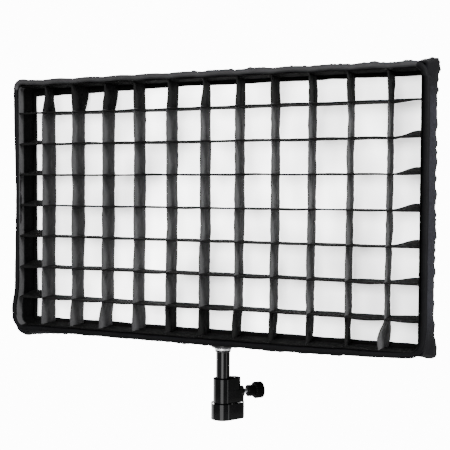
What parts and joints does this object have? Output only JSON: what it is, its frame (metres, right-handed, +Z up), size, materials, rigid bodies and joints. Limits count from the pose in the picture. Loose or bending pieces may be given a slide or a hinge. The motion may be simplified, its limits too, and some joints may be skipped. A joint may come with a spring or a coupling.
{
  "type": "strip softbox",
  "caption": "Slim LED panel lamp in a slip-on rectangular softbox with an egg-crate grid, tilting in a rear yoke on the top of a light stand.",
  "frame": {"origin": "centre of the flat underside of the stand's lower collar, on the stand's axis", "axes": "+Z up along the stand, -Y the way the light leaves, X across the panel's long side"},
  "size_m": [0.6, 0.1343, 0.484],
  "materials": {
    "grid_cloth": "matt woven black cloth with a faint sheen",
    "black_cloth": "matt black woven cloth, slightly bluish",
    "white_cloth": "translucent white diffusion cloth, softly wrinkled",
    "elastic": "matt black elastic",
    "rod_metal": "satin drawn rod",
    "elbow_plastic": "moulded black plastic",
    "lamp_metal": "fine-textured black powder coat",
    "board_white": "white solder mask",
    "circuit_green": "green solder mask",
    "dark_plastic": "fine-grained black plastic",
    "yoke_metal": "satin black powder coat",
    "chrome": "polished",
    "stand_black": "glossy black",
    "knob_rubber": "matt black moulded rubber"
  },
  "bodies": {
    "stand_top": {"upper_collar": "stand_black", "lower_collar": "stand_black", "mid_tube": "stand_black"},
    "lock_knob": {"lock_knob": "knob_rubber"},
    "riser": {"riser_tube": "stand_black", "riser_ring": "chrome", "spigot": "chrome"},
    "yoke": {"yoke": "yoke_metal", "friction_washer_left": "elastic", "friction_washer_right": "elastic", "receiver": "stand_black", "receiver_bolt": "chrome"},
    "receiver_knob": {"receiver_knob": "knob_rubber"},
    "lamp": {"lamp_housing": "lamp_metal", "led_board": "board_white", "driver_box": "lamp_metal", "driver_board": "circuit_green", "driver_cover": "dark_plastic", "power_inlet": "dark_plastic"},
    "tilt_knob_left": {"tilt_knob_left": "knob_rubber"},
    "tilt_knob_right": {"tilt_knob_right": "knob_rubber"},
    "power_switch": {"power_switch": "dark_plastic"},
    "dimmer_dial": {"dimmer_dial": "knob_rubber"},
    "colour_dial": {"colour_dial": "knob_rubber"},
    "softbox": {"rim_sleeve": "black_cloth", "frame_rod_top": "rod_metal", "frame_rod_bottom": "rod_metal", "frame_rod_left": "rod_metal", "frame_rod_right": "rod_metal", "frame_elbow_top_right": "elbow_plastic", "frame_elbow_top_left": "elbow_plastic", "frame_elbow_bottom_left": "elbow_plastic", "frame_elbow_bottom_right": "elbow_plastic", "skirt_top": "black_cloth", "skirt_bottom": "black_cloth", "skirt_left": "black_cloth", "skirt_right": "black_cloth", "diffuser_band": "black_cloth", "diffuser": "white_cloth", "elastic_hem": "black_cloth", "elastic_cord": "elastic"},
    "grid": {"grid_border": "grid_cloth", "grid_upright_01": "grid_cloth", "grid_upright_02": "grid_cloth", "grid_upright_03": "grid_cloth", "grid_upright_04": "grid_cloth", "grid_upright_05": "grid_cloth", "grid_upright_06": "grid_cloth", "grid_upright_07": "grid_cloth", "grid_upright_08": "grid_cloth", "grid_upright_09": "grid_cloth", "grid_upright_10": "grid_cloth", "grid_upright_11": "grid_cloth", "grid_level_1": "grid_cloth", "grid_level_2": "grid_cloth", "grid_level_3": "grid_cloth", "grid_level_4": "grid_cloth", "grid_level_5": "grid_cloth", "grid_level_6": "grid_cloth", "grid_level_7": "grid_cloth"}
  },
  "joints": [
    {"name": "riser_slide", "type": "slide", "parent": "stand_top", "child": "riser", "axis": [0, 0, 1], "range_m": [0, 0.03]},
    {"name": "lock_knob_turn", "type": "hinge", "parent": "stand_top", "child": "lock_knob", "pos_m": [0.03536, 0.03536, 0.0368], "axis": [-0.7071, -0.7071, 0], "range_deg": [0, 540]},
    {"name": "head_pan", "type": "hinge", "parent": "riser", "child": "yoke", "pos_m": [0, 0, 0.122], "axis": [0, 0, 1], "continuous": true},
    {"name": "receiver_knob_turn", "type": "hinge", "parent": "yoke", "child": "receiver_knob", "pos_m": [0, 0.035, 0.12], "axis": [0, -1, 0], "range_deg": [0, 540]},
    {"name": "head_tilt", "type": "hinge", "parent": "yoke", "child": "lamp", "pos_m": [0, 0, 0.302], "axis": [-1, 0, 0], "range_deg": [0, 80]},
    {"name": "tilt_knob_left_turn", "type": "hinge", "parent": "lamp", "child": "tilt_knob_left", "pos_m": [-0.1, 0, 0.302], "axis": [1, 0, 0], "range_deg": [0, 540]},
    {"name": "tilt_knob_right_turn", "type": "hinge", "parent": "lamp", "child": "tilt_knob_right", "pos_m": [0.1, 0, 0.302], "axis": [-1, 0, 0], "range_deg": [0, 540]},
    {"name": "power_switch_rock", "type": "hinge", "parent": "lamp", "child": "power_switch", "pos_m": [0.04, 0.0183, 0.258], "axis": [-1, 0, 0], "range_deg": [0, 14]},
    {"name": "dimmer_turn", "type": "hinge", "parent": "lamp", "child": "dimmer_dial", "pos_m": [-0.03, 0.0253, 0.326], "axis": [0, -1, 0], "range_deg": [0, 300]},
    {"name": "colour_turn", "type": "hinge", "parent": "lamp", "child": "colour_dial", "pos_m": [0.03, 0.0253, 0.326], "axis": [0, -1, 0], "range_deg": [0, 300]},
    {"name": "softbox_slip_off", "type": "slide", "parent": "lamp", "child": "softbox", "axis": [0, -1, 0], "range_m": [0, 0.09]},
    {"name": "grid_pull_off", "type": "slide", "parent": "softbox", "child": "grid", "axis": [0, -1, 0], "range_m": [0, 0.06]}
  ]
}
